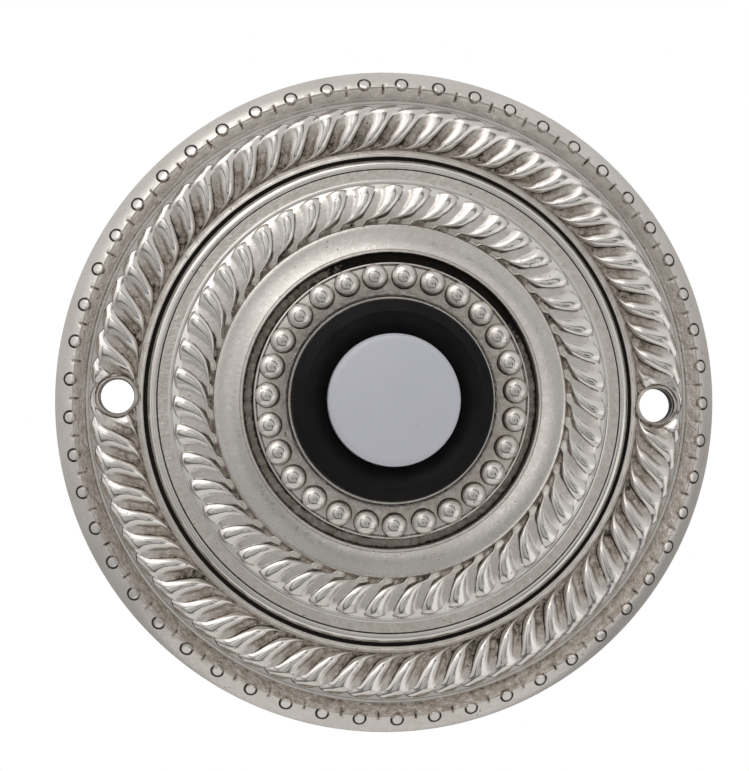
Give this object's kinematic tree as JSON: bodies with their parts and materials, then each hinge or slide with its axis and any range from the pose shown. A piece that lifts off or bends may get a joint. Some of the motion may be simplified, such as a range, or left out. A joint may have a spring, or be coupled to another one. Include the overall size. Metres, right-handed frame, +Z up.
{
  "type": "doorbell push button",
  "caption": "Round cast doorbell push with rope-moulded rings, a beaded collar and a sprung white button in a black switch housing.",
  "frame": {"origin": "on the push's axis in the wall plane, midway between the two wall screw holes", "axes": "+Y into the wall along the push's axis, +Z up, +X along the line of the two screw holes"},
  "size_m": [0.0762, 0.0259, 0.0762],
  "materials": {
    "plate_metal": "satin",
    "rosette_metal": "satin",
    "collar_metal": "satin",
    "black_metal": "satin",
    "washer_steel": "satin",
    "nut_brass": "satin",
    "button_white": "satin",
    "carrier_plastic": "satin",
    "contact_brass": "satin",
    "base_plastic": "satin",
    "spring_steel": "satin"
  },
  "bodies": {
    "push_body": {"back_plate": "plate_metal", "centre_rosette": "rosette_metal", "beaded_collar": "collar_metal", "switch_housing": "black_metal", "lock_washer": "washer_steel", "retaining_nut": "nut_brass", "terminal_base": "base_plastic", "base_retaining_ring": "washer_steel", "return_spring": "spring_steel", "fixed_contact_left": "contact_brass", "fixed_contact_right": "contact_brass", "terminal_nut_left": "nut_brass", "terminal_nut_right": "nut_brass", "terminal_washer_left": "washer_steel", "terminal_washer_right": "washer_steel", "terminal_screw_left": "nut_brass", "terminal_screw_right": "nut_brass"},
    "button": {"button_cap": "button_white", "contact_carrier": "carrier_plastic", "moving_contact": "contact_brass", "contact_eyelet": "contact_brass"}
  },
  "joints": [
    {"name": "button_press", "type": "slide", "parent": "push_body", "child": "button", "axis": [0, 1, 0], "range_m": [0, 0.0015], "stiffness_N_per_m": 400, "springref_m": -0.004, "deforming": ["return_spring"]}
  ]
}
